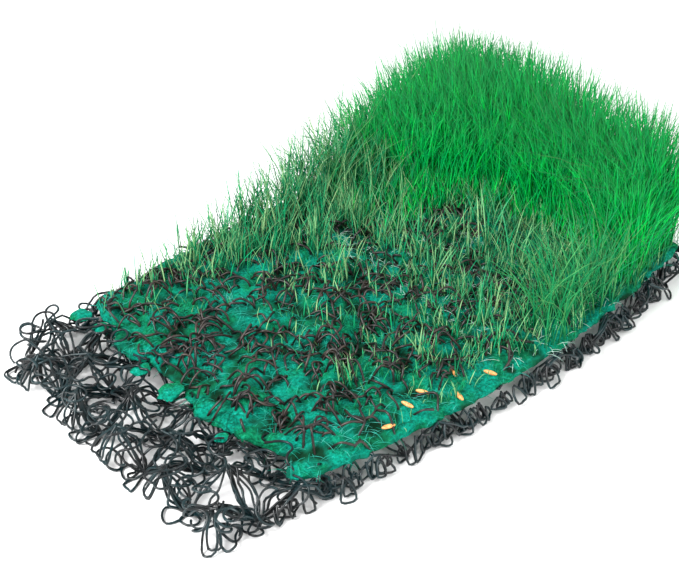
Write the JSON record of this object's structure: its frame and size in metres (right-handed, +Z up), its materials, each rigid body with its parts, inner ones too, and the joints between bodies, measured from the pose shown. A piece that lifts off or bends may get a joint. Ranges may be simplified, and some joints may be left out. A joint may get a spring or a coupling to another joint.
{
  "type": "laid strip of vegetated erosion control mat",
  "caption": "Flat strip of tangled filament erosion control mat, bare at one end, capped by a fibre growth medium and grown through with seedlings and dense grass at the other.",
  "frame": {"origin": "middle of the mat's underside, on the level floor that its feet rest on", "axes": "+X from the bare front end to the grassed back end, +Y to the left-hand edge, +Z up out of the mat"},
  "size_m": [0.3142, 0.1984, 0.0919],
  "materials": {
    "filament": "black extruded monofilament with a soft blue-grey sheen",
    "medium": "matted teal-green fibre",
    "grass": "living grass blades, satin",
    "seedling": "young grass blades, satin",
    "seed": "dry tan husk"
  },
  "bodies": {
    "root": {"filament_mat": "filament", "growth_medium": "medium", "grass_sward": "grass", "seedling_tuft_1": "seedling", "seedling_tuft_2": "seedling", "seedling_tuft_3": "seedling", "seedling_tuft_4": "seedling", "seedling_tuft_5": "seedling", "seedling_tuft_6": "seedling", "seedling_tuft_7": "seedling", "seedling_tuft_8": "seedling", "seedling_tuft_9": "seedling", "seedling_tuft_10": "seedling", "seedling_tuft_11": "seedling", "seedling_tuft_12": "seedling", "seedling_tuft_13": "seedling", "seedling_tuft_14": "seedling", "seed_1": "seed", "seed_2": "seed", "seed_3": "seed", "seed_4": "seed", "seed_5": "seed", "seed_6": "seed"}
  },
  "joints": []
}
